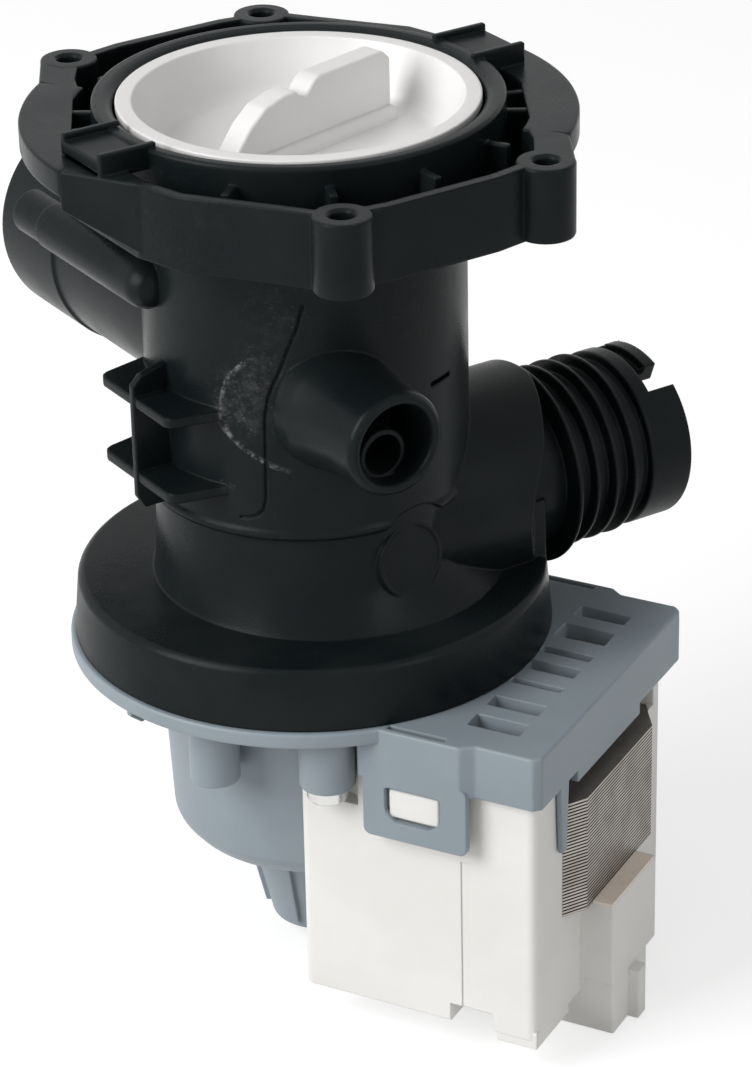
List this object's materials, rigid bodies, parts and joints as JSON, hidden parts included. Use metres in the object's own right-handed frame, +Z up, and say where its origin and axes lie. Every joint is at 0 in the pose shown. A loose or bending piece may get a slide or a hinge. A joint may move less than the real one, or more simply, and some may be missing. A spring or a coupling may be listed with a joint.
{
  "type": "washer drain pump",
  "caption": "Washing machine drain pump with filter housing, screw-in filter cap, ribbed hose outlet and open-frame synchronous motor.",
  "frame": {"origin": "centre of the four flange ears' hole pattern, on the ears' top face", "axes": "+Z up along the filter and rotor axis, out of the filter's mouth; +X towards the small hose port; +Y towards the ribbed outlet; the inlet points to -X"},
  "size_m": [0.1412, 0.123, 0.1808],
  "materials": {
    "black_plastic": "glass-filled polypropylene, slight sheen",
    "grey_plastic": "blue-grey moulded plastic",
    "white_cap": "milky polypropylene",
    "cream_plastic": "moulded coil body",
    "sheet_steel": "stacked stamped sheets",
    "screw_steel": "zinc plated",
    "copper": "enamelled wire",
    "brass": "tinned blades",
    "tan_fibre": "pressed insulation",
    "black_rubber": "seal rubber",
    "bearing_bronze": "sintered",
    "ferrite": "pressed ferrite",
    "shaft_steel": "ground",
    "impeller_plastic": "natural polypropylene"
  },
  "bodies": {
    "pump": {"pump_housing": "black_plastic", "flange_seal": "black_rubber", "motor_flange": "grey_plastic", "flange_screws": "screw_steel", "stator_overmould": "cream_plastic", "lamination_stack": "sheet_steel", "bobbin_left": "cream_plastic", "bobbin_right": "cream_plastic", "winding_left": "copper", "winding_right": "copper", "terminals": "brass", "insulation_strip": "tan_fibre", "bearing_shield": "grey_plastic", "shield_seal": "black_rubber", "front_mount": "black_rubber", "front_bushing": "bearing_bronze", "front_washer": "shaft_steel", "rear_mount": "black_rubber", "rear_bushing": "bearing_bronze", "rear_washer": "shaft_steel"},
    "rotor": {"rotor_shaft": "shaft_steel", "rotor_core": "impeller_plastic", "rotor_magnet": "ferrite", "drive_dog": "shaft_steel"},
    "impeller_wheel": {"impeller": "impeller_plastic", "impeller_hub_lid": "impeller_plastic"},
    "strainer_insert": {"strainer": "white_cap"},
    "cap": {"filter_cap": "white_cap", "cap_seal": "black_rubber"}
  },
  "joints": [
    {"name": "strainer_lift", "type": "slide", "parent": "pump", "child": "strainer_insert", "axis": [0, 0, 1], "range_m": [0, 0.015]},
    {"name": "cap_turn", "type": "hinge", "parent": "strainer_insert", "child": "cap", "pos_m": [0, 0, -0.0075], "axis": [0, 0, 1], "range_deg": [0, 540]},
    {"name": "rotor_spin", "type": "hinge", "parent": "pump", "child": "rotor", "pos_m": [0, 0, -0.1045], "axis": [0, 0, 1], "continuous": true},
    {"name": "impeller_swing", "type": "hinge", "parent": "rotor", "child": "impeller_wheel", "pos_m": [0, 0, -0.0925], "axis": [0, 0, 1], "range_deg": [-118, 118]}
  ],
  "couplings": [
    {"joint": "strainer_lift", "follows": "cap_turn", "m_per_rad": 0.0015915}
  ]
}
